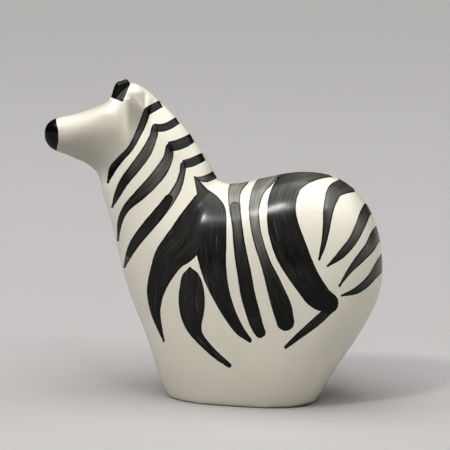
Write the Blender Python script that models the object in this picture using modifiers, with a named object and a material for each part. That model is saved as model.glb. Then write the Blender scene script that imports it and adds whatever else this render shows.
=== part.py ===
"""Zebra figurine: one glazed ceramic casting with no legs, a rounded body on a flat oval foot.

The head looks along -X, +Z is up and the figure is the same on both sides of the plane Y = 0. The
origin is the centre of the flat underside of the foot. One half is a loft: ribs span the side view
from the top line to the lower line, from the rump to the nose, and each rib carries a cross section.
The lower ribs run past the ground and are cut off there, which leaves the foot.
"""

import math
from collections import namedtuple

import bmesh
import bpy
from mathutils import Vector

MM = 0.001

# Driving sizes
HEIGHT = 149 * MM
BODY_WIDTH = 57 * MM
FOOT_LENGTH = 73 * MM
FOOT_WIDTH = 38 * MM
EAR_HEIGHT = 6.2 * MM
EAR_WIDTH = 5.2 * MM
EAR_THICKNESS = 5.0 * MM
RIDGE_RADIUS = 1.5 * MM
MANE_DEPTH = 7.4 * MM

# The ribs are drawn for this height and scaled to HEIGHT.
DRAWN_HEIGHT = 149
UNIT = HEIGHT / DRAWN_HEIGHT

# Fineness of the loft
STEPS_PER_RIB = 4
POINTS_PER_SECTION = 30

# The level where the body is widest, and how far below the ground its lower line would run on so that
# the cut at the ground is FOOT_WIDTH wide.
WIDEST_LEVEL = 63
SINK = WIDEST_LEVEL * (1 / math.sqrt(1 - (FOOT_WIDTH / BODY_WIDTH) ** 2) - 1)
FOOT = FOOT_LENGTH / 2 / UNIT

# One rib: the top point and the low point in the side view, the half width as a share of half the
# body's, where the section is widest (from the top), how round its top is (2 is an ellipse, less is
# steeper, like a roof) and how much of the mane's own roof stands on it.
Rib = namedtuple("Rib", "top_x top_z low_x low_z width widest roundness mane")

RIBS = (
    Rib(67.3, 67.0, 67.3, 67.0, 0.000, 0.50, 2.2, 0.0),
    Rib(64.2, 84.2, 66.0, 51.0, 0.410, 0.50, 2.2, 0.0),
    Rib(57.6, 96.9, 58.2, 34.5, 0.730, 0.50, 2.2, 0.0),
    Rib(45.8, 106.1, 46.6, 16.0, 0.930, 0.48, 2.2, 0.0),
    Rib(29.0, 108.5, FOOT * 0.91, SINK * -0.27, 0.990, 0.41, 2.2, 0.0),
    Rib(11.0, 104.9, FOOT * 0.35, SINK * -0.97, 1.000, 0.34, 2.2, 0.0),
    Rib(-3.5, 101.6, FOOT * -0.48, SINK * -0.93, 1.000, 0.33, 2.1, 0.1),
    Rib(-10.3, 103.0, FOOT * -0.89, SINK * -0.22, 0.980, 0.37, 1.9, 0.4),
    Rib(-14.7, 110.4, -44.0, 26.5, 0.940, 0.46, 1.7, 0.8),
    Rib(-20.9, 120.1, -53.9, 52.0, 0.860, 0.54, 1.6, 1.0),
    Rib(-29.2, 130.6, -61.0, 80.0, 0.740, 0.56, 1.6, 1.0),
    Rib(-38.0, 138.9, -66.0, 96.5, 0.620, 0.56, 1.6, 1.0),
    Rib(-46.1, 145.5, -68.5, 104.6, 0.545, 0.56, 1.7, 1.0),
    Rib(-52.8, 147.7, -74.5, 109.2, 0.505, 0.55, 1.8, 0.9),
    Rib(-58.6, 142.6, -80.0, 111.2, 0.480, 0.52, 1.9, 0.5),
    Rib(-64.3, 138.7, -83.6, 112.6, 0.455, 0.50, 2.0, 0.0),
    Rib(-72.0, 135.2, -87.6, 113.8, 0.405, 0.50, 2.0, 0.0),
    Rib(-81.0, 132.1, -90.8, 115.2, 0.345, 0.50, 2.1, 0.0),
    Rib(-89.0, 130.2, -92.8, 117.0, 0.300, 0.50, 2.2, 0.0),
    Rib(-92.9, 128.1, -94.1, 119.2, 0.215, 0.50, 2.2, 0.0),
    Rib(-94.4, 123.8, -94.4, 123.8, 0.000, 0.50, 2.2, 0.0),
)
LOWER_ROUNDNESS = 2.15
BLEND_SHARPNESS = 6

# The ears grow from the faces between these rings of the loft and these points of each section. They
# lean back, and each stage is a share of the ear's height and of its girth.
EAR_RINGS = range(53, 57)
EAR_POINTS = range(1, 5)
EAR_LEAN = Vector((0.36, 0, 1)).normalized()
EAR_STAGES = ((0.12, 1.0), (0.4, 1.02), (0.66, 0.96), (0.86, 0.80), (1.0, 0.50))
EAR_DOME = 0.1

# The hollow behind the cheek, under the front of the mane: its place, its reach and its depth.
HOLLOW_X, HOLLOW_Z = -49.5, 134.0
HOLLOW_REACH_X, HOLLOW_REACH_Z = 5.0, 9.0
HOLLOW_DEPTH = 1.6 * MM

GLAZE_COLOUR = (0.80, 0.76, 0.66, 1)
GLAZE_ROUGHNESS = 0.22

# Vertices this close to the ground are set on it by the cut.
CUT_SNAP = 0.5 * MM
MERGE_DISTANCE = 0.01 * MM
SHARP_ANGLE = math.radians(40)


def clear_scene():
    for obj in list(bpy.data.objects):
        bpy.data.objects.remove(obj)


def mirrored_end(inner, outer):
    """The rib that would follow an end rib: its two outlines change places, so both run on smoothly."""
    turned = inner._replace(top_x=inner.low_x, top_z=inner.low_z, low_x=inner.top_x, low_z=inner.top_z)
    return turned._replace(width=2 * outer.width - inner.width)


def rib_gap(first, second):
    """How far apart two ribs lie: the mean travel of their two ends."""
    top = math.hypot(second.top_x - first.top_x, second.top_z - first.top_z)
    low = math.hypot(second.low_x - first.low_x, second.low_z - first.low_z)
    return (top + low) / 2


def slope_at(before, here, after, gap_before, gap_after):
    """The tangent of a curve through three values at uneven distances."""
    rise_before = (here - before) / gap_before
    rise_after = (after - here) / gap_after
    return (rise_before * gap_after + rise_after * gap_before) / (gap_before + gap_after)


def hermite(start, end, slope_start, slope_end, gap, share):
    """A smooth value between two ribs."""
    squared, cubed = share**2, share**3
    return (
        start * (2 * cubed - 3 * squared + 1)
        + end * (3 * squared - 2 * cubed)
        + gap * slope_start * (cubed - 2 * squared + share)
        + gap * slope_end * (cubed - squared)
    )


def smooth_ribs():
    """All the ribs of the loft: STEPS_PER_RIB for each gap between two drawn ribs."""
    chain = [mirrored_end(RIBS[1], RIBS[0]), *RIBS, mirrored_end(RIBS[-2], RIBS[-1])]
    found = []
    for before, here, after, beyond in zip(chain, chain[1:], chain[2:], chain[3:]):
        gaps = rib_gap(before, here), rib_gap(here, after), rib_gap(after, beyond)
        for step in range(STEPS_PER_RIB):
            values = []
            for a, b, c, d in zip(before, here, after, beyond):
                start_slope = slope_at(a, b, c, gaps[0], gaps[1])
                end_slope = slope_at(b, c, d, gaps[1], gaps[2])
                values.append(hermite(b, c, start_slope, end_slope, gaps[1], step / STEPS_PER_RIB))
            found.append(Rib(*values))
    return found + [RIBS[-1]]


def rounded(share, roundness):
    """The width of a section at a share of the way from its widest point to its end."""
    return (1 - share**roundness) ** (1 / roundness)


def half_width_at(rib, along, length):
    """The half width of a rib's section at a distance along it from its top point."""
    widest = rib.widest * length
    upper = rounded(max(0, widest - along) / widest, rib.roundness)
    lower = rounded(max(0, along - widest) / (length - widest), LOWER_ROUNDNESS)
    body = rib.width * BODY_WIDTH / 2 * upper
    depth = min(along, MANE_DEPTH)
    mane = max(0, rib.mane) * math.sqrt(depth**2 + 2 * RIDGE_RADIUS * depth)
    return lower * (body**BLEND_SHARPNESS + mane**BLEND_SHARPNESS) ** (1 / BLEND_SHARPNESS)


def shares_along(widest):
    """Where a section's points lie along its rib, close together at both ends, as an ellipse's do."""
    for index in range(POINTS_PER_SECTION + 1):
        cosine = math.cos(math.pi * index / POINTS_PER_SECTION)
        reach = widest if cosine > 0 else 1 - widest
        yield widest - cosine * reach


def section(rib):
    """The points of one half section, from the top line to the lower line."""
    top = Vector((rib.top_x, 0, rib.top_z)) * UNIT
    low = Vector((rib.low_x, 0, rib.low_z)) * UNIT
    length = (low - top).length
    if length < MERGE_DISTANCE:
        return [top]
    shares = list(shares_along(rib.widest))
    points = [top.lerp(low, share) for share in shares]
    for share, point in list(zip(shares, points))[1:-1]:
        point.y = -half_width_at(rib, share * length, length)
    return points


def press_hollow(point):
    """Presses in the side of the neck behind the cheek."""
    along = (point.x - HOLLOW_X * UNIT) / (HOLLOW_REACH_X * UNIT)
    up = (point.z - HOLLOW_Z * UNIT) / (HOLLOW_REACH_Z * UNIT)
    if point.y < -2 * HOLLOW_DEPTH:
        point.y += HOLLOW_DEPTH * math.exp(-(along**2) - up**2)


def bridge(mesh, ring, following):
    """Faces between two sections; a section of one point is a pole."""
    for index in range(POINTS_PER_SECTION):
        corners = [ring[min(index, len(ring) - 1)], following[min(index, len(following) - 1)]]
        corners += [following[min(index + 1, len(following) - 1)], ring[min(index + 1, len(ring) - 1)]]
        mesh.faces.new(list(dict.fromkeys(corners)))


def on_disc(ring, point):
    """Where a point of the ear's square patch of the loft lies on a disc of radius 1."""
    along = 1 - 2 * (ring - EAR_RINGS.start) / len(EAR_RINGS)
    across = 1 - 2 * (point - EAR_POINTS.start) / len(EAR_POINTS)
    return along * math.sqrt(1 - across**2 / 2), across * math.sqrt(1 - along**2 / 2)


def grow_ear(mesh, rings):
    """Draws a patch of faces out of the top of the head, in stages, into a small rounded ear."""
    places = {}
    for ring in range(EAR_RINGS.start, EAR_RINGS.stop + 1):
        for point in range(EAR_POINTS.start, EAR_POINTS.stop + 1):
            places[rings[ring][point]] = on_disc(ring, point)
    root = sum((vertex.co for vertex in places), Vector()) / len(places)
    side = Vector((0, 1, 0))
    back = side.cross(EAR_LEAN)
    patch = [face for face in mesh.faces if all(vertex in places for vertex in face.verts)]
    for share, girth in EAR_STAGES:
        grown = bmesh.ops.extrude_face_region(mesh, geom=patch)["geom"]
        lifted = {tuple(item.co): item for item in grown if isinstance(item, bmesh.types.BMVert)}
        places = {lifted[tuple(vertex.co)]: place for vertex, place in places.items()}
        bmesh.ops.delete(mesh, geom=patch, context="FACES")
        patch = [item for item in grown if isinstance(item, bmesh.types.BMFace)]
        for vertex, (along, across) in places.items():
            height = EAR_HEIGHT * (share - EAR_DOME * (along**2 + across**2))
            vertex.co = root + EAR_LEAN * height
            vertex.co += back * (along * girth * EAR_WIDTH / 2) + side * (across * girth * EAR_THICKNESS / 2)


def cut_foot(mesh):
    """Cuts the body off at the ground and closes it with one flat face."""
    everything = mesh.verts[:] + mesh.edges[:] + mesh.faces[:]
    cut = bmesh.ops.bisect_plane(
        mesh, geom=everything, dist=CUT_SNAP, plane_co=(0, 0, 0), plane_no=(0, 0, -1), clear_outer=True
    )
    rim = [item for item in cut["geom_cut"] if isinstance(item, bmesh.types.BMVert)]
    for vertex in rim:
        vertex.co.z = 0
    rim.sort(key=lambda vertex: vertex.co.x)
    mesh.faces.new(rim)


def half_mesh():
    """The near half of the figure, open at the plane Y = 0."""
    mesh = bmesh.new()
    rings = []
    for rib in smooth_ribs():
        points = section(rib)
        for point in points[1:-1]:
            press_hollow(point)
        rings.append([mesh.verts.new(point) for point in points])
    for ring, following in zip(rings, rings[1:]):
        bridge(mesh, ring, following)
    grow_ear(mesh, rings)
    cut_foot(mesh)
    bmesh.ops.recalc_face_normals(mesh, faces=mesh.faces[:])
    return mesh


def glaze():
    material = bpy.data.materials.new("cream_glaze")
    material.use_nodes = True
    shader = material.node_tree.nodes["Principled BSDF"]
    shader.inputs["Base Color"].default_value = GLAZE_COLOUR
    shader.inputs["Roughness"].default_value = GLAZE_ROUGHNESS
    shader.inputs["Metallic"].default_value = 0
    return material


def make_figure(collection):
    shape = bpy.data.meshes.new("zebra_figurine")
    half = half_mesh()
    half.to_mesh(shape)
    half.free()
    figure = bpy.data.objects.new("zebra_figurine", shape)
    collection.objects.link(figure)
    shape.materials.append(glaze())
    shape.shade_smooth()
    shape.set_sharp_from_angle(angle=SHARP_ANGLE)
    mirror = figure.modifiers.new("both_sides", "MIRROR")
    mirror.use_axis = (False, True, False)
    mirror.merge_threshold = MERGE_DISTANCE
    return figure


def main():
    clear_scene()
    collection = bpy.data.collections.new("zebra_figurine")
    bpy.context.scene.collection.children.link(collection)
    make_figure(collection)


main()
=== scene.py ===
# %% [markdown]
# # A painted zebra figurine
# The real object is a slip-cast ceramic figure. Liquid clay was poured into a plaster mould, and the
# casting was cleaned, painted with a brush in black stain and covered with a glossy cream-white glaze.
# The solid gives the form. This lesson makes a fine surface from it, paints the strokes on it one by
# one, as a decorator would, and lights it softly on a pale floor.

import math
from collections import namedtuple

import bmesh
import bpy
import numpy as np
from mathutils import Matrix, Vector


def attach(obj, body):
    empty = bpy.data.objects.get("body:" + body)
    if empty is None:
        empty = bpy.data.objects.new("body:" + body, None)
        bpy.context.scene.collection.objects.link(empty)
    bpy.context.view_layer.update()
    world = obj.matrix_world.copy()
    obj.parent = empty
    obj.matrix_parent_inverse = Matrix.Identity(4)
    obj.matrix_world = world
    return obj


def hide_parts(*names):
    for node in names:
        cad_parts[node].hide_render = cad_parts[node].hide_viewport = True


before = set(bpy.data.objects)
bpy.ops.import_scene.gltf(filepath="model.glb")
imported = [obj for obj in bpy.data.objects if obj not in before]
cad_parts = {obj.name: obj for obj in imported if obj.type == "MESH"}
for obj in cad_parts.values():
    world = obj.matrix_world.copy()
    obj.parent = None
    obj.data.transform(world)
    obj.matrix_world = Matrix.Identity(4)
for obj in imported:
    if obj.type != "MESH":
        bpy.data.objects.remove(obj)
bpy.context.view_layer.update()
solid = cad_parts["zebra_figurine"]

MM = 0.001

# %% [markdown]
# ## The eye
# The figure is seen from its left side, a little from behind and a little from above, through a long
# lens. The same eye serves twice. It is the camera, and it is also the place from which the strokes are
# drawn, because a stroke is easiest to place on the picture of the side that shows it.

# %% Where the eye is
PICTURE_SIZE = 450
FOCAL_LENGTH_IN_PIXELS = 1810
SENSOR_WIDTH = 36
EYE_AZIMUTH = math.radians(14)
EYE_ELEVATION = math.radians(10.5)
EYE_DISTANCE = 850 * MM
EYE_TARGET = Vector((-7, 0, 82)) * MM

eye_right = Vector((math.cos(EYE_AZIMUTH), math.sin(EYE_AZIMUTH), 0))
eye_back = Vector((math.sin(EYE_AZIMUTH), -math.cos(EYE_AZIMUTH), math.tan(EYE_ELEVATION))).normalized()
eye_up = eye_back.cross(eye_right)
eye_place = EYE_TARGET + eye_back * EYE_DISTANCE


def add_camera():
    camera = bpy.data.objects.new("camera", bpy.data.cameras.new("camera"))
    bpy.context.scene.collection.objects.link(camera)
    turn = Matrix((eye_right, eye_up, eye_back)).transposed()
    camera.matrix_world = Matrix.Translation(eye_place) @ turn.to_4x4()
    camera.data.sensor_width = SENSOR_WIDTH
    camera.data.lens = FOCAL_LENGTH_IN_PIXELS / PICTURE_SIZE * SENSOR_WIDTH
    bpy.context.scene.camera = camera
    return camera


camera = add_camera()
print("lens, mm:", round(camera.data.lens, 1))

# %% [markdown]
# ## Shader sums
# A material is a network of nodes, and a network is easier to read as sums. This small class holds one
# output of a node. Numbers are added and multiplied with the usual signs, and each sign adds one Math
# node. Colours are mixed and vectors are built by their own methods, because a Math node turns a colour
# into grey.


# %% One socket that can be used in a sum
class Wire:
    """One output of a node in a material, for use in sums."""

    def __init__(self, tree, socket=None):
        self.tree = tree
        self.socket = socket

    def node(self, kind, settings, inputs, output=0):
        """Adds any node: its settings first, then the values or the wires of its sockets."""
        made = self.tree.nodes.new(kind)
        for name, value in settings.items():
            setattr(made, name, value)
        for name, value in inputs.items():
            if isinstance(value, Wire):
                self.tree.links.new(value.socket, made.inputs[name])
            else:
                made.inputs[name].default_value = value
        return Wire(self.tree, made.outputs[output])

    def maths(self, operation, *values):
        inputs = dict(enumerate(values))
        return self.node("ShaderNodeMath", {"operation": operation}, inputs)

    def __add__(self, other):
        return self.maths("ADD", self, other)

    def __sub__(self, other):
        return self.maths("SUBTRACT", self, other)

    def __rsub__(self, other):
        return self.maths("SUBTRACT", other, self)

    def __mul__(self, other):
        return self.maths("MULTIPLY", self, other)

    __radd__ = __add__
    __rmul__ = __mul__

    def clamped(self):
        return self.node("ShaderNodeClamp", {}, {"Value": self})

    def ramp(self, low, high):
        """A soft step from 0 at low to 1 at high."""
        settings = {"interpolation_type": "SMOOTHSTEP"}
        return self.node("ShaderNodeMapRange", settings, {"Value": self, "From Min": low, "From Max": high})

    def attribute(self, name):
        """A number that the mesh carries at each of its points."""
        return self.node("ShaderNodeAttribute", {"attribute_name": name}, {}, "Fac")

    def vector(self, x, y, z):
        return self.node("ShaderNodeCombineXYZ", {}, {"X": x, "Y": y, "Z": z})

    def place(self):
        """The point of the surface, in metres."""
        return self.node("ShaderNodeTexCoord", {}, {}, "Object")

    def noise(self, vector, scale, detail=2.0, roughness=0.5):
        inputs = {"Vector": vector, "Scale": scale, "Detail": detail, "Roughness": roughness}
        return self.node("ShaderNodeTexNoise", {}, inputs, "Fac")

    def blend(self, first, second):
        """The first colour where this wire is 0, the second where it is 1."""
        inputs = {0: self, 6: first, 7: second}
        return self.node("ShaderNodeMix", {"data_type": "RGBA"}, inputs, 2)

    def bump(self, height, distance, strength=1.0):
        inputs = {"Height": height, "Distance": distance, "Strength": strength}
        return self.node("ShaderNodeBump", {}, inputs, "Normal")


def new_material(name):
    """A material with its main shader, and a wire to start its sums from."""
    material = bpy.data.materials.new(name)
    material.use_nodes = True
    shader = material.node_tree.nodes["Principled BSDF"]
    return material, shader, Wire(material.node_tree)


def connect(wire, shader, socket):
    wire.tree.links.new(wire.socket, shader.inputs[socket])


print("shader sums are ready")

# %% [markdown]
# ## The studio
# The figure stands on a plain pale sheet that runs on far behind it. Broad soft lights hang high on its
# left and right and in front, so the upper sides are bright, the belly is grey and the shadow is soft on
# both sides of the foot. Two small lamps in front put the highlights on the black strokes. The picture's
# gamma is set below 1, which deepens the shadows as the photograph's do.

# %% Floor, lights and world
FLOOR_SIZE = 80
FLOOR_COLOUR = (0.485, 0.473, 0.467, 1)
FLOOR_ROUGHNESS = 0.95
WORLD_COLOUR = (0.95, 0.97, 1.0, 1)
WORLD_STRENGTH = 0.06
SHADOW_DEPTH = 0.74

SoftLight = namedtuple("SoftLight", "name azimuth elevation spread strength")
BROAD_LIGHTS = (
    SoftLight("broad_top", -55, 74, 60, 2.35),
    SoftLight("broad_right", 90, 56, 60, 1.25),
    SoftLight("broad_front", 0, 24, 60, 0.2),
)
LAMPS = (
    SoftLight("lamp_left", -28, 52, 6, 0.8),
    SoftLight("lamp_right", 32, 57, 6, 0.2),
)
LAMP_DISTANCE = 2.5


def direction(light):
    """From the figure to the light; azimuth 0 is the side that the picture shows."""
    azimuth = math.radians(light.azimuth)
    elevation = math.radians(light.elevation)
    level = math.cos(elevation)
    return Vector((math.sin(azimuth) * level, -math.cos(azimuth) * level, math.sin(elevation)))


def add_floor():
    bpy.ops.mesh.primitive_plane_add(size=FLOOR_SIZE)
    floor = bpy.context.object
    floor.name = "floor"
    material, shader, _ = new_material("pale_paper")
    shader.inputs["Base Color"].default_value = FLOOR_COLOUR
    shader.inputs["Roughness"].default_value = FLOOR_ROUGHNESS
    floor.data.materials.append(material)
    return floor


def place_lamp(data, light):
    lamp = bpy.data.objects.new(light.name, data)
    bpy.context.scene.collection.objects.link(lamp)
    lamp.location = direction(light) * LAMP_DISTANCE
    lamp.rotation_euler = direction(light).to_track_quat("Z", "Y").to_euler()


def add_broad_light(light):
    """A light as wide as a bank of soft boxes and as even as daylight, so the floor shows no pool."""
    data = bpy.data.lights.new(light.name, "SUN")
    data.angle = math.radians(light.spread)
    data.energy = light.strength
    place_lamp(data, light)


def add_lamp(light):
    """A small lamp, which gives the glaze its highlights; its strength is what reaches the figure."""
    data = bpy.data.lights.new(light.name, "AREA")
    data.shape = "DISK"
    data.size = 2 * LAMP_DISTANCE * math.tan(math.radians(light.spread / 2))
    data.energy = light.strength * math.pi * LAMP_DISTANCE**2
    place_lamp(data, light)


def light_world():
    world = bpy.data.worlds.new("studio")
    world.use_nodes = True
    background = world.node_tree.nodes["Background"]
    background.inputs["Color"].default_value = WORLD_COLOUR
    background.inputs["Strength"].default_value = WORLD_STRENGTH
    bpy.context.scene.world = world


add_floor()
for light in BROAD_LIGHTS:
    add_broad_light(light)
for light in LAMPS:
    add_lamp(light)
light_world()
bpy.context.scene.view_settings.view_transform = "Standard"
bpy.context.scene.view_settings.gamma = SHADOW_DEPTH
print("lights:", [light.name for light in BROAD_LIGHTS + LAMPS])

# %% [markdown]
# ## The glazed surface
# The solid is made of flat triangles. A glaze shows every facet as a broken reflection, so the surface
# has to be smooth. The triangles are joined back into four-sided faces and divided twice by Subdivision
# Surface, which rounds them as flowing glaze would. The underside is made anew: a rounded edge, a flat
# ring to stand on and a shallow recess, as a potter cuts it.

# %% A welded copy in four-sided faces
WELD_DISTANCE = 0.002 * MM
GROUND_BAND = 0.01 * MM
JOIN_ANGLE = math.radians(60)
FootStep = namedtuple("FootStep", "inset height")
FOOT_STEPS = (
    FootStep(0.9 * MM, 0.0),
    FootStep(2.4 * MM, 0.0),
    FootStep(3.0 * MM, 0.5 * MM),
    FootStep(5.0 * MM, 0.7 * MM),
)


def close_foot(mesh):
    """Builds the underside inwards from the open edge, in steps, and fills the rest."""
    rim = [edge for edge in mesh.edges if edge.is_boundary]
    outline = {vertex: vertex.co.copy() for edge in rim for vertex in edge.verts}
    origin = dict(outline)
    for step in FOOT_STEPS:
        grown = bmesh.ops.extrude_edge_only(mesh, edges=rim)["geom"]
        rim = [item for item in grown if isinstance(item, bmesh.types.BMEdge) and item.is_boundary]
        following = {}
        for vertex in {vertex for edge in rim for vertex in edge.verts}:
            before = next(other for edge in vertex.link_edges for other in edge.verts if other in origin)
            start = origin[before]
            inward = Vector((-start.x, -start.y, 0)).normalized()
            vertex.co = start + inward * step.inset
            vertex.co.z = step.height
            following[vertex] = start
        origin = following
    bmesh.ops.contextual_create(mesh, geom=rim)


def fine_mesh(node):
    mesh = bmesh.new()
    mesh.from_mesh(node.data)
    bmesh.ops.remove_doubles(mesh, verts=mesh.verts, dist=WELD_DISTANCE)
    under = [face for face in mesh.faces if all(vertex.co.z < GROUND_BAND for vertex in face.verts)]
    bmesh.ops.delete(mesh, geom=under, context="FACES")
    bmesh.ops.join_triangles(
        mesh, faces=mesh.faces, angle_face_threshold=JOIN_ANGLE, angle_shape_threshold=JOIN_ANGLE
    )
    close_foot(mesh)
    bmesh.ops.recalc_face_normals(mesh, faces=mesh.faces)
    triangles = sum(len(face.verts) == 3 for face in mesh.faces)
    print("faces:", len(mesh.faces), "of them triangles:", triangles)
    made = bpy.data.meshes.new("zebra_glazed")
    mesh.to_mesh(made)
    mesh.free()
    return made


def divided(shape, levels):
    """The mesh after Subdivision Surface, as a plain object."""
    rough = bpy.data.objects.new("rough", shape)
    bpy.context.scene.collection.objects.link(rough)
    finer = rough.modifiers.new("finer", "SUBSURF")
    finer.levels = levels
    finer.render_levels = levels
    smooth = bpy.data.meshes.new_from_object(rough.evaluated_get(bpy.context.evaluated_depsgraph_get()))
    bpy.data.objects.remove(rough)
    smooth.name = "zebra_glazed"
    figure = bpy.data.objects.new("zebra_glazed", smooth)
    bpy.context.scene.collection.objects.link(figure)
    smooth.shade_smooth()
    return figure


figure = divided(fine_mesh(solid), 2)
print("fine surface:", len(figure.data.polygons), "faces")

# %% [markdown]
# ## The hollow behind the ears
# The sides of the head stand upright behind the ears, and end in a corner where the mane begins. The
# cheeks slant a little, narrower below than above. Modelling this in the solid would cost many small
# faces, so the fine surface is moved here: each point of the side slides across the body, at the cheek
# by a share of its height, and behind the ear to an upright wall that rounds over into the crown.


# %% Stand the sides of the head upright
WALL_HALF_WIDTH = 10.6
WALL_LEAN = 0.17
WALL_MIDDLE_HEIGHT = 136
CROWN_START = 141
CROWN_SQUARENESS = 3
CROWN_TOP = 146.8
EAR_BACK = -56
EAR_LEAN = 0.8
MANE_CORNER = -42.4
MANE_CORNER_WIDTH = 2.4
CHEEK_SLANT = 0.15
EAR_EASE = 6
MOST_PUSHED_OUT = 2.2
WALL_FADE = (122, 137)
RIDGE_FADE = (0, 3)
CHEEK_BACK_MARGIN = 2
CHEEK_SIDE = (4, 10)
CHEEK_TOP = 142
CHEEK_EASE = 12
CHEEK_TURN_HEIGHT = 126
CHEEK_LOWEST = 110
CHEEK_HIGHEST = 134
CHEEK_BACK_AT_TURN = -45
CHEEK_BACK_SLOPE = 0.39


def soft_step(values, low, high):
    """0 below low, 1 above high, and smooth between."""
    share = np.clip((values - low) / (high - low), 0, 1)
    return share * share * (3 - 2 * share)


def read_mesh(mesh):
    """The points of a mesh and their normals, in mm, as arrays."""
    count = len(mesh.vertices)
    points = np.empty(count * 3)
    normals = np.empty(count * 3)
    mesh.vertices.foreach_get("co", points)
    mesh.vertices.foreach_get("normal", normals)
    return points.reshape(-1, 3) / MM, normals.reshape(-1, 3)


def stand_sides_upright(mesh):
    points, _ = read_mesh(mesh)
    x, y, z = points.T
    before = y.copy()
    cheek_back = CHEEK_BACK_AT_TURN + (z - CHEEK_TURN_HEIGHT) * CHEEK_BACK_SLOPE
    cheek_start = -cheek_back - CHEEK_BACK_MARGIN
    cheek = soft_step(-x, cheek_start, cheek_start + CHEEK_EASE) * soft_step(np.abs(y), *CHEEK_SIDE)
    cheek *= soft_step(z, CHEEK_LOWEST - CHEEK_EASE, CHEEK_LOWEST)
    cheek *= soft_step(-z, -CHEEK_TOP, -CHEEK_HIGHEST)
    level = np.clip(z, CHEEK_LOWEST, CHEEK_HIGHEST) - CHEEK_TURN_HEIGHT
    y += np.sign(y) * level * CHEEK_SLANT * cheek

    behind_ear = EAR_BACK + np.maximum(z - CROWN_START, 0) * EAR_LEAN
    share = soft_step(x, behind_ear, behind_ear + EAR_EASE)
    share *= soft_step(-x, -MANE_CORNER - MANE_CORNER_WIDTH, -MANE_CORNER)
    share *= soft_step(z, *WALL_FADE) * soft_step(np.abs(y), *RIDGE_FADE)
    risen = np.clip((z - CROWN_START) / (CROWN_TOP - CROWN_START), 0, 1)
    rounding = (1 - risen**CROWN_SQUARENESS) ** (1 / CROWN_SQUARENESS)
    wall = (WALL_HALF_WIDTH + WALL_LEAN * (WALL_MIDDLE_HEIGHT - z)) * rounding
    push = wall - np.abs(y)
    eased = MOST_PUSHED_OUT * np.tanh(push / MOST_PUSHED_OUT)
    y += np.sign(y) * np.where(push > 0, eased, push) * share
    mesh.vertices.foreach_set("co", (points * MM).ravel())
    mesh.update()
    return np.abs(y - before)


moved = stand_sides_upright(figure.data)
print("points moved:", int((moved > 0).sum()), "by at most", round(moved.max(), 2), "mm")

# %% [markdown]
# ## Brush strokes
# Each stripe is one pull of a loaded round brush, or two. It is described as the hand made it: a row of
# dabs, each with its place on the picture, how wide the brush was pressed there (its reach to one side,
# in mm) and how much stain it left, from 0 for none to 1 for solid black. The short marks on the mane
# were made with the side of the brush and end square. A second coat lies over the first where two
# strokes overlap, and is darker there.

# %% The strokes, from the head to the tail
Dab = namedtuple("Dab", "across down reach load")
Stroke = namedtuple("Stroke", "name coat ends dabs")

MANE_STROKES = (
    Stroke("mane_1", 2, "square", (
        Dab(146.5, 111.8, 1.9, 0.93), Dab(153, 108, 1.85, 0.93), Dab(160.9, 103.7, 1.8, 0.93),
    )),
    Stroke("mane_2", 2, "square", (
        Dab(155, 128, 1.8, 0.94), Dab(163.6, 127.5, 1.85, 0.93), Dab(171, 124.6, 1.85, 0.93),
        Dab(177.5, 120.3, 1.8, 0.95),
    )),
    Stroke("mane_3", 2, "square", (
        Dab(168.8, 146.8, 2.3, 0.94), Dab(177.3, 145, 2.5, 0.93), Dab(185, 142, 2.5, 0.93),
        Dab(192, 138, 2.2, 0.96),
    )),
    Stroke("mane_4", 2, "square", (
        Dab(183.2, 164.2, 2.0, 0.93), Dab(191, 162.6, 2.1, 0.93), Dab(197.9, 159.5, 2.1, 0.93),
        Dab(203.5, 156.6, 2.0, 0.95),
    )),
    Stroke("mane_5", 2, "square", (
        Dab(196, 178, 0.5, 0.8), Dab(204, 179, 1.5, 0.78), Dab(209.5, 177.4, 1.8, 0.82),
        Dab(214.9, 174.8, 1.8, 0.88),
    )),
)

NECK_STROKES = (
    Stroke("neck_1", 1, "round", (
        Dab(147, 111.5, 1.7, 0.9), Dab(141.3, 127, 1.65, 0.86), Dab(131.2, 147, 1.35, 0.86),
        Dab(121, 158.5, 1.5, 0.9), Dab(113.5, 167.5, 1.75, 1.0), Dab(110.3, 175, 1.2, 1.0),
        Dab(107.8, 182.5, 0.35, 1.0),
    )),
    Stroke("neck_2", 1, "round", (
        Dab(155.5, 127.5, 1.8, 0.9), Dab(152.6, 138.5, 1.95, 0.8), Dab(146, 152.5, 2.5, 0.8),
        Dab(135.5, 167, 2.5, 0.84), Dab(124.3, 181.5, 2.15, 0.92), Dab(117.3, 195, 1.5, 0.94),
        Dab(112.2, 207, 0.35, 0.95),
    )),
    Stroke("neck_3", 1, "round", (
        Dab(169.6, 147.5, 1.9, 0.88), Dab(168, 158, 2.3, 0.8), Dab(161.8, 170, 2.9, 0.78),
        Dab(151.4, 183, 2.9, 0.82), Dab(138.5, 196, 2.55, 0.9), Dab(126.5, 208, 1.75, 0.92),
        Dab(120, 222, 1.2, 0.92), Dab(117.9, 240.5, 0.35, 0.92),
    )),
    Stroke("neck_4", 1, "round", (
        Dab(183.3, 165, 1.5, 0.85), Dab(182, 174, 1.45, 0.82), Dab(178.2, 186, 1.85, 0.78),
        Dab(170.3, 199.5, 2.3, 0.76), Dab(158.8, 213.5, 2.75, 0.72), Dab(147, 227.5, 2.75, 0.7),
        Dab(136, 241.5, 2.4, 0.72), Dab(129, 254.5, 1.6, 0.8), Dab(124.5, 267, 0.35, 0.85),
    )),
    Stroke("neck_4_again", 2, "round", (
        Dab(168.5, 199, 2.1, 0.8), Dab(158.8, 213.5, 2.7, 0.82), Dab(147, 227.5, 2.65, 0.82),
        Dab(136, 241.5, 2.2, 0.82), Dab(129, 254.5, 1.3, 0.8),
    )),
)

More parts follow.
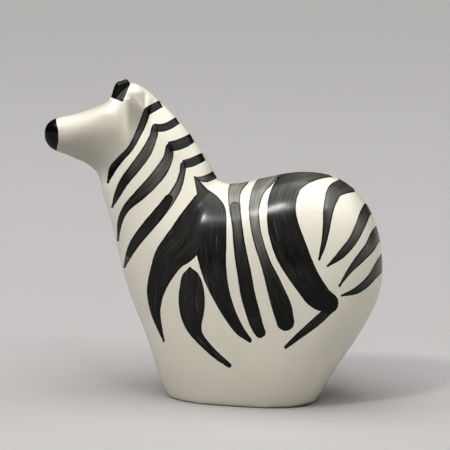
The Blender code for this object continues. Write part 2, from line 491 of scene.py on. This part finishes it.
SHOULDER_STROKES = (
    Stroke("shoulder_front", 2, "round", (
        Dab(198.5, 200, 2.6, 0.9), Dab(190.5, 222, 6.1, 0.9), Dab(183, 242.5, 8.6, 0.9),
        Dab(170, 257, 7.3, 0.92), Dab(161.5, 273.7, 5.6, 0.94), Dab(156, 290, 4.3, 0.97),
        Dab(155, 306, 2.8, 0.98), Dab(157.3, 320, 1.75, 1.0), Dab(163.8, 341, 0.35, 1.0),
    )),
    Stroke("shoulder_back", 2, "round", (
        Dab(194.8, 177.2, 0.3, 0.85), Dab(198.3, 184, 1.45, 0.84), Dab(202.6, 192.5, 2.9, 0.87),
        Dab(208, 202, 5.3, 0.9), Dab(211.2, 212, 6.9, 0.92), Dab(211.5, 228, 7.0, 0.92),
        Dab(211, 246, 7.2, 0.93), Dab(212.5, 262, 6.4, 0.94), Dab(216.3, 280, 5.3, 0.95),
        Dab(222, 297, 4.1, 0.96), Dab(229.7, 314, 3.1, 0.97), Dab(239.4, 330, 2.3, 0.98),
        Dab(250, 340.6, 1.0, 1.0),
    )),
    Stroke("foreleg", 1, "round", (
        Dab(189.8, 268, 0.6, 0.95), Dab(190.4, 275, 3.9, 0.93), Dab(191.5, 290, 5.8, 0.93),
        Dab(191.7, 303, 6.1, 0.93), Dab(192.2, 315, 5.4, 0.94), Dab(193.6, 326, 3.9, 0.96),
        Dab(198, 336, 2.5, 0.97), Dab(207, 346.5, 1.95, 0.97), Dab(217.5, 356.5, 1.6, 0.97),
        Dab(224.5, 361.8, 1.35, 0.98), Dab(229.4, 365.6, 1.1, 1.0),
    )),
)

BARREL_STROKES = (
    Stroke("barrel_1", 1, "round", (
        Dab(243, 177, 3.6, 0.62), Dab(235.7, 188, 3.2, 0.6), Dab(234.1, 198, 2.85, 0.6),
        Dab(235, 210, 2.7, 0.64), Dab(237, 224, 2.45, 0.72), Dab(238.7, 240, 2.65, 0.8),
        Dab(241.4, 258, 3.05, 0.84), Dab(244.7, 276, 3.3, 0.88), Dab(247.8, 294, 3.4, 0.9),
        Dab(252.6, 312, 3.3, 0.92), Dab(257, 326, 2.95, 0.96), Dab(260.2, 332.5, 2.6, 1.0),
    )),
    Stroke("barrel_1_again", 2, "round", (
        Dab(234.9, 206.5, 2.3, 0.62), Dab(237, 224, 2.3, 0.4), Dab(238.7, 240, 2.4, 0.45),
        Dab(241.4, 258, 2.8, 0.5), Dab(244.7, 276, 3.0, 0.7), Dab(247.8, 294, 3.0, 0.75),
        Dab(252.6, 312, 2.7, 0.7),
    )),
    Stroke("barrel_2", 1, "round", (
        Dab(276, 171, 2.9, 0.68), Dab(266.5, 180, 3.35, 0.66), Dab(259.3, 189, 3.05, 0.64),
        Dab(255.6, 199, 2.7, 0.66), Dab(254, 211, 2.45, 0.68), Dab(255.4, 227, 2.2, 0.68),
        Dab(259, 243, 2.25, 0.74), Dab(265.3, 262, 2.4, 0.86), Dab(272.2, 280, 3.4, 0.93),
        Dab(277.8, 296, 4.2, 0.97), Dab(282, 308, 4.55, 0.99), Dab(285.5, 322, 4.15, 1.0),
    )),
)

HAUNCH_STROKES = (
    Stroke("haunch", 1, "round", (
        Dab(338, 175.5, 1.4, 0.8), Dab(328, 172, 2.6, 0.8), Dab(314, 173, 3.6, 0.8),
        Dab(301, 176.5, 4.8, 0.8), Dab(290, 183.5, 5.9, 0.84), Dab(283.4, 196, 6.5, 0.88),
        Dab(281.5, 211, 6.75, 0.92), Dab(283.8, 229, 7.4, 0.93), Dab(290.6, 249.6, 7.75, 0.94),
        Dab(298.3, 266, 7.15, 0.96), Dab(307.7, 282, 6.4, 0.98), Dab(317.8, 296, 6.0, 1.0),
        Dab(328, 303, 4.9, 1.0),
    )),
    Stroke("hind_leg", 2, "round", (
        Dab(331, 308, 2.0, 0.97), Dab(322, 316.5, 2.1, 0.95), Dab(311.5, 325.7, 2.0, 0.95),
        Dab(298, 336.7, 1.45, 0.97), Dab(285.6, 347.2, 0.8, 1.0),
    )),
    Stroke("rump_1", 1, "round", (
        Dab(356, 184.5, 3.4, 0.84), Dab(344.5, 186.3, 3.5, 0.84), Dab(335, 190.8, 3.6, 0.84),
        Dab(330.3, 202, 2.85, 0.78), Dab(328, 213, 2.3, 0.82), Dab(326.6, 226, 1.75, 0.86),
        Dab(324.4, 240, 1.35, 0.88), Dab(322, 250, 1.0, 0.9), Dab(319.2, 259.5, 0.35, 0.9),
    )),
    Stroke("rump_2", 1, "round", (
        Dab(372, 203, 2.8, 0.84), Dab(365.8, 212, 2.5, 0.84), Dab(361, 224, 2.35, 0.78),
        Dab(353, 240.2, 2.1, 0.8), Dab(342.6, 253, 1.95, 0.86), Dab(334.5, 260.5, 1.2, 0.9),
        Dab(327.6, 266, 0.35, 0.9),
    )),
    Stroke("rump_3", 1, "round", (
        Dab(385, 225, 3.6, 0.84), Dab(375.5, 236.5, 2.75, 0.84), Dab(369.6, 247.5, 2.5, 0.78),
        Dab(358.4, 260.5, 1.95, 0.84), Dab(348.2, 272.6, 1.1, 0.88), Dab(339.4, 286, 0.35, 0.9),
    )),
    Stroke("rump_4", 1, "round", (
        Dab(390, 255, 4.0, 0.84), Dab(381.5, 264.5, 2.9, 0.84), Dab(372.4, 276.3, 1.95, 0.82),
        Dab(364, 285.3, 1.8, 0.86), Dab(354.5, 291.5, 1.45, 0.9), Dab(341.8, 295.6, 0.4, 0.92),
    )),
)

EAR_STROKES = (
    Stroke("ear", 2, "square", (
        Dab(126, 75, 3.4, 0.97), Dab(120, 89.5, 3.4, 0.97), Dab(116, 99.2, 3.4, 0.97),
    )),
)

STROKES = EAR_STROKES + MANE_STROKES + NECK_STROKES + SHOULDER_STROKES + BARREL_STROKES + HAUNCH_STROKES
print("strokes:", len(STROKES), "dabs:", sum(len(stroke.dabs) for stroke in STROKES))

# %% [markdown]
# ## From dabs to paint
# The brush glides smoothly from dab to dab, so a curve is run through them. For each point of the
# surface three things matter: how far outside or inside the stroke's edge it is, how far along the
# stroke, and how far from its middle. The first makes the outline, and the other two make the bristle
# marks run with the stroke. The far side of the figure repeats the near side, as a decorator who turns
# the piece round would do.

# %% Measure a stroke
MM_PER_PIXEL = EYE_DISTANCE / FOCAL_LENGTH_IN_PIXELS / MM
STEPS_PER_DAB = 8
FINEST_REACH = 0.55


def smooth_path(dabs):
    """A Catmull-Rom curve through the dabs."""
    points = np.array(dabs, float)
    chain = np.vstack([2 * points[0] - points[1], points, 2 * points[-1] - points[-2]])
    share = (np.arange(STEPS_PER_DAB) / STEPS_PER_DAB)[:, None]
    runs = []
    for a, b, c, d in zip(chain, chain[1:], chain[2:], chain[3:]):
        bend = 2 * a - 5 * b + 4 * c - d + share * (3 * (b - c) + d - a)
        runs.append(b + 0.5 * share * (c - a + share * bend))
    path = np.vstack(runs + [points[-1:]])
    path[:, 2] = np.maximum(path[:, 2], FINEST_REACH)
    return path


def measure_stroke(stroke, spots):
    """For each spot on the picture: mm outside the stroke's edge, mm along it, mm across it, its load."""
    path = smooth_path(stroke.dabs)
    places = path[:, :2] * MM_PER_PIXEL
    target = spots * MM_PER_PIXEL
    steps = np.gradient(places, axis=0)
    tangents = steps / np.linalg.norm(steps, axis=1, keepdims=True)
    travelled = np.concatenate([[0], np.cumsum(np.linalg.norm(np.diff(places, axis=0), axis=1))])
    nearest = np.zeros(len(spots), int)
    closest = np.full(len(spots), np.inf)
    for index, place in enumerate(places):
        distance = ((target - place) ** 2).sum(1)
        nearest[distance < closest] = index
        closest = np.minimum(closest, distance)
    offset = target - places[nearest]
    tangent = tangents[nearest]
    along = travelled[nearest] + (offset * tangent).sum(1)
    across = offset[:, 0] * tangent[:, 1] - offset[:, 1] * tangent[:, 0]
    reach = np.interp(along, travelled, path[:, 2])
    load = np.interp(along, travelled, path[:, 3])
    past = np.maximum(-along, along - travelled[-1])
    if stroke.ends == "square":
        edge = np.maximum(np.abs(across) - reach, past)
    else:
        edge = np.hypot(across, np.maximum(past, 0)) - reach
    return edge, along, across, load


print("one pixel of the picture, in mm:", round(MM_PER_PIXEL, 2))

# %% [markdown]
# ## The near side and its twin
# The dabs are places on the picture, so each point of the surface has to be looked up there. The far
# side can't be seen, and each of its points borrows the place of its mirror twin on the near side.

# %% Where the eye sees each point of the near side
def seen_by_eye(points):
    """The place of each point on the picture, counted in pixels from its top left corner."""
    ray = points - np.array(eye_place) / MM
    depth = -(ray @ np.array(eye_back))
    across = PICTURE_SIZE / 2 + FOCAL_LENGTH_IN_PIXELS * (ray @ np.array(eye_right)) / depth
    down = PICTURE_SIZE / 2 - FOCAL_LENGTH_IN_PIXELS * (ray @ np.array(eye_up)) / depth
    return np.stack([across, down], axis=1)


def near_twin(vectors):
    """The same point or normal on the near side, where Y is negative."""
    return vectors * (1, -1, 1)


def look_at(mesh):
    """For each point: its near twin, where the eye sees that twin, and how far it faces the eye."""
    points, normals = read_mesh(mesh)
    far = points[:, 1] > 0
    twins = np.where(far[:, None], near_twin(points), points)
    twin_normals = np.where(far[:, None], near_twin(normals), normals)
    towards_eye = np.array(eye_place) / MM - twins
    towards_eye /= np.linalg.norm(towards_eye, axis=1, keepdims=True)
    return twins, seen_by_eye(twins), (twin_normals * towards_eye).sum(1)


twins, spots, facing = look_at(figure.data)
print("points facing the eye:", int((facing > 0).sum()), "of", len(spots))

# %% [markdown]
# Each coat keeps, at each point, the stroke whose edge reaches furthest over it. On the chest and the
# jaw the strokes grow narrower where the surface turns away from the eye, and end before the front. A
# thin tip needs small faces, so the surface is divided once more along the edges of the strokes.

# %% Lay both coats on the surface
BARE = 5.0
HIDDEN_MARGIN = -0.02
EAR_FOOT = 141
NARROWING = 14.0
HEAVY_LOAD = (0.72, 0.95)
HEAVY_GAIN = 0.6
LOW_HEIGHT = 60
REFINE_REACH = 1.1
FINE_ENOUGH = 0.75 * MM
STROKE_SPACING = 53.0


def lay_coat(coat):
    """The edge, along, across and load of the uppermost stroke of one coat, at each point."""
    found = [np.full(len(spots), BARE)] + [np.zeros(len(spots)) for _ in range(3)]
    for number, stroke in enumerate(STROKES):
        if stroke.coat != coat:
            continue
        edge, along, across, load = measure_stroke(stroke, spots)
        wins = edge < found[0]
        for kept, new in zip(found, (edge, along + number * STROKE_SPACING, across, load)):
            kept[wins] = new[wins]
    found[3] += (1 - found[3]) * HEAVY_GAIN * soft_step(found[3], *HEAVY_LOAD)
    turned_away = np.maximum(HIDDEN_MARGIN - facing, 0) * NARROWING
    low_or_front = (twins[:, 2] < EAR_FOOT) & ((twins[:, 0] < 0) | (twins[:, 2] < LOW_HEIGHT))
    found[0] = np.minimum(found[0] + np.where(low_or_front, turned_away, 0), BARE)
    return found


def keep(mesh, name, values):
    """Writes one number for each point of the mesh, for the material to read."""
    attribute = mesh.attributes.new(name, "FLOAT", "POINT")
    attribute.data.foreach_set("value", values.astype(np.float32))


def refine_along_edges(mesh, edge):
    """Halves the longer mesh edges that lie along the outline of a stroke, so that thin tips hold."""
    work = bmesh.new()
    work.from_mesh(mesh)
    close = np.abs(edge) < REFINE_REACH
    chosen = [
        line for line in work.edges
        if close[line.verts[0].index] and close[line.verts[1].index] and line.calc_length() > FINE_ENOUGH
    ]
    bmesh.ops.subdivide_edges(work, edges=chosen, cuts=1, use_grid_fill=True, smooth=1.0)
    work.to_mesh(mesh)
    work.free()
    mesh.shade_smooth()


refine_along_edges(figure.data, np.minimum(lay_coat(1)[0], lay_coat(2)[0]))
twins, spots, facing = look_at(figure.data)
for coat in (1, 2):
    for name, values in zip(("edge", "along", "across", "load"), lay_coat(coat)):
        keep(figure.data, f"coat_{coat}_{name}", values)
triangles = sum(len(face.vertices) - 2 for face in figure.data.polygons)
print("coats are laid on", len(spots), "points,", triangles, "triangles")

# %% [markdown]
# ## Nose
# The tip of the muzzle was dipped in the stain, so it is solid black up to a rounded line on both sides.
# The line is rounded over the bridge of the nose too, where its two halves would meet in a point.

# %% Distance to the line of the nose
NOSE_ROUNDING = 5.0
NOSE_LINE = ((46, 112), (54.5, 120), (57.3, 131), (57.6, 141), (55.5, 150), (50, 160))


def nose_distance():
    """Mm in front of (negative) or behind the nose's painted line."""
    rounded = twins.copy()
    rounded[:, 1] = -np.hypot(twins[:, 1], NOSE_ROUNDING)
    across, down = seen_by_eye(rounded).T
    line = np.array(NOSE_LINE, float)
    return (across - np.interp(down, line[:, 1], line[:, 0])) * MM_PER_PIXEL


keep(figure.data, "nose_edge", nose_distance())
print("nose points:", int((nose_distance() < 0).sum()))

# %% [markdown]
# ## Painted shade on the cheeks
# Behind the ears and under the cheeks, shade is painted into the colour: a greyer cream that darkens the
# head beyond what the lights give. It is more likely shade than glaze that gathered there, but a painted
# tone comes closer to the picture than the lights did. Each point gets a share of it, which fades out
# downwards and stops at the first stroke.
# It is fixed to the surface, so it stays in every view.

# %% Share of the painted shade
FIRST_STROKE_LINE = ((104, 190), (113, 167), (131, 146), (141, 126), (145.5, 110), (145.5, 88))
BELOW_LEDGE = (2, 26)
HOLLOW_ACROSS = (123, 131)
HOLLOW_DOWN = (88, 95)
PAINTED_SHADE_END = (165, 195)
HEAD_X = (38, 40)
HEAD_Z = (96, 104)
CHEEK_SHADE_SHARE = 0.75
STROKE_MARGIN = (-0.5, 1.5)
CHEEK_LEDGE = ((50, 122), (80, 117), (118, 112), (150, 112))


# Painted shade: the share of greyer cream that stands in for shade behind the ears and under the cheeks.
def painted_shade_share():
    across, down = spots.T
    line = np.array(FIRST_STROKE_LINE[::-1], float)
    ahead_of_stroke = soft_step(np.interp(down, line[:, 1], line[:, 0]) - across, *STROKE_MARGIN)
    ledge = np.array(CHEEK_LEDGE, float)
    under_ledge = soft_step(down - np.interp(across, ledge[:, 0], ledge[:, 1]), *BELOW_LEDGE)
    hollow = soft_step(across, *HOLLOW_ACROSS) * soft_step(down, *HOLLOW_DOWN)
    fading = 1 - soft_step(down, *PAINTED_SHADE_END)
    near_head = soft_step(-twins[:, 0], *HEAD_X) * soft_step(twins[:, 2], *HEAD_Z)
    return np.maximum(under_ledge * CHEEK_SHADE_SHARE, hollow) * ahead_of_stroke * fading * near_head


# The share of painted shade is kept on the mesh for the material.
keep(figure.data, "painted_shade", painted_shade_share())
print("points in the greyer tone:", int((painted_shade_share() > 0.5).sum()))

# %% [markdown]
# ## Bare foot
# Glaze would stick the piece to the kiln shelf, so the potter wipes it off the underside. The clay that
# is left bare there is brown and matt, and shows in the picture as a thin line along the foot.

# %% Share of bare clay
WIPED_HEIGHT = 0.5
UNDERSIDE_HEIGHT = 1.5
FACING_DOWN = (0.4, 0.8)


def bare_share():
    _, normals = read_mesh(figure.data)
    height = twins[:, 2]
    underside = soft_step(-normals[:, 2], *FACING_DOWN) * (height < UNDERSIDE_HEIGHT)
    return np.maximum(underside, 1 - soft_step(height, 0, WIPED_HEIGHT))


keep(figure.data, "bare_clay", bare_share())
print("points of bare clay:", int((bare_share() > 0.5).sum()))

# %% [markdown]
# ## Painted glaze
# The clay is covered with cream-white glaze, and the black stain lies in it. Where the brush was nearly
# dry the cream shines through in fine lines that run with the stroke. A stroke is darker along its
# edges, where the wet stain gathered.

# %% How much a coat of stain hides
EDGE_WAVER = 0.3
EDGE_WAVER_SCALE = 450
EDGE_SOFTNESS = 0.16
FULL_LOAD = 1.05
BRISTLE_DEPTH = 0.9
BRISTLE_PITCH = 1.1
BRISTLE_LENGTH = 0.06
BROAD_DEPTH = 0.8
BROAD_PITCH = 0.3
BROAD_LENGTH = 0.09
RIM_DEPTH = 0.7
RIM_START = -0.85
RIM_END = -0.15
GAP_DEPTH = 0.16
GAP_PITCH = 1.5
GAP_LENGTH = 0.05
GAP_LEVEL = 0.64
GAP_FULL = 0.72
BROAD_SEED = 3
GAP_SEED = 9


def stain_of_coat(start, coat):
    """How much of the cream one coat hides, from 0 to 1."""
    edge = start.attribute(f"coat_{coat}_edge")
    along = start.attribute(f"coat_{coat}_along")
    across = start.attribute(f"coat_{coat}_across")
    load = start.attribute(f"coat_{coat}_load")
    waver = start.noise(start.place(), EDGE_WAVER_SCALE, 2) - 0.5
    cover = (edge + waver * EDGE_WAVER).ramp(EDGE_SOFTNESS, -EDGE_SOFTNESS)
    bristle_place = start.vector(along * BRISTLE_LENGTH, across * BRISTLE_PITCH, coat)
    bristles = start.noise(bristle_place, 1.0, 3, 0.6) - 0.5
    broad_place = start.vector(along * BROAD_LENGTH, across * BROAD_PITCH, coat + BROAD_SEED)
    broad = start.noise(broad_place, 1.0, 1) - 0.5
    gap_place = start.vector(along * GAP_LENGTH, across * GAP_PITCH, coat + GAP_SEED)
    gaps = start.noise(gap_place, 1.0, 2, 0.5).ramp(GAP_LEVEL, GAP_FULL)
    rim = edge.ramp(RIM_START, RIM_END)
    thinness = FULL_LOAD - load
    amount = load + bristles * thinness * BRISTLE_DEPTH + broad * thinness * BROAD_DEPTH
    amount = amount + rim * thinness * RIM_DEPTH - gaps * GAP_DEPTH
    return amount.clamped() * cover


print("one coat:", BRISTLE_DEPTH, "bristle depth,", GAP_DEPTH, "gap depth")

# %% [markdown]
# ## Gloss
# The colours are mixed here: cream first, then the painted shade, the stain and the bare clay. Glaze that
# ran smooth in the kiln is never quite even, so a very small bump breaks its reflections. It is far
# too fine to be worth mesh.

# %% The glaze's shader
CREAM = (0.83, 0.80, 0.71, 1)
CREAM_THICK = (0.80, 0.775, 0.68, 1)
STAIN = (0.004, 0.0042, 0.004, 1)
CLAY = (0.20, 0.16, 0.12, 1)
GLOSS_ROUGHNESS = 0.23
CLAY_ROUGHNESS = 0.85
GLOSS_LEVEL = 0.4
# Painted shade: a greyer cream for the head's sides behind the ears and under the cheeks.
PAINTED_SHADE_CREAM = (0.47, 0.45, 0.39, 1)
UNEVEN_SCALE = 55
UNEVEN_FROM = 0.35
UNEVEN_TO = 0.7
NOSE_SOFTNESS = 0.15
PEEL_SCALE = 420
PEEL_DEPTH = 0.012
WAVE_SCALE = 60
WAVE_DEPTH = 0.2
RELIEF_HEIGHT = 1 * MM


def painted_glaze():
    material, shader, start = new_material("painted_glaze")
    black = start.attribute("nose_edge").ramp(NOSE_SOFTNESS, -NOSE_SOFTNESS)
    bare = (1 - stain_of_coat(start, 1)) * (1 - stain_of_coat(start, 2)) * (1 - black)
    patches = start.noise(start.place(), UNEVEN_SCALE, 3).ramp(UNEVEN_FROM, UNEVEN_TO)
    uneven = patches.blend(CREAM, CREAM_THICK)
    # Painted shade: the cream turns greyer where the mesh carries a share of it.
    with_painted_shade = start.attribute("painted_shade").blend(uneven, PAINTED_SHADE_CREAM)
    colour = (1 - bare).blend(with_painted_shade, STAIN)
    clay = start.attribute("bare_clay")
    connect(clay.blend(colour, CLAY), shader, "Base Color")
    connect(clay * (CLAY_ROUGHNESS - GLOSS_ROUGHNESS) + GLOSS_ROUGHNESS, shader, "Roughness")
    shader.inputs["Specular IOR Level"].default_value = GLOSS_LEVEL
    peel = start.noise(start.place(), PEEL_SCALE, 2)
    waves = start.noise(start.place(), WAVE_SCALE, 2)
    connect(start.bump(peel * PEEL_DEPTH + waves * WAVE_DEPTH, RELIEF_HEIGHT), shader, "Normal")
    return material


figure.data.materials.clear()
figure.data.materials.append(painted_glaze())
print("glaze is on")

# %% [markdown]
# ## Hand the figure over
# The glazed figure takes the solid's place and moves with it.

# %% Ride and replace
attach(figure, "root")
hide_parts("zebra_figurine")
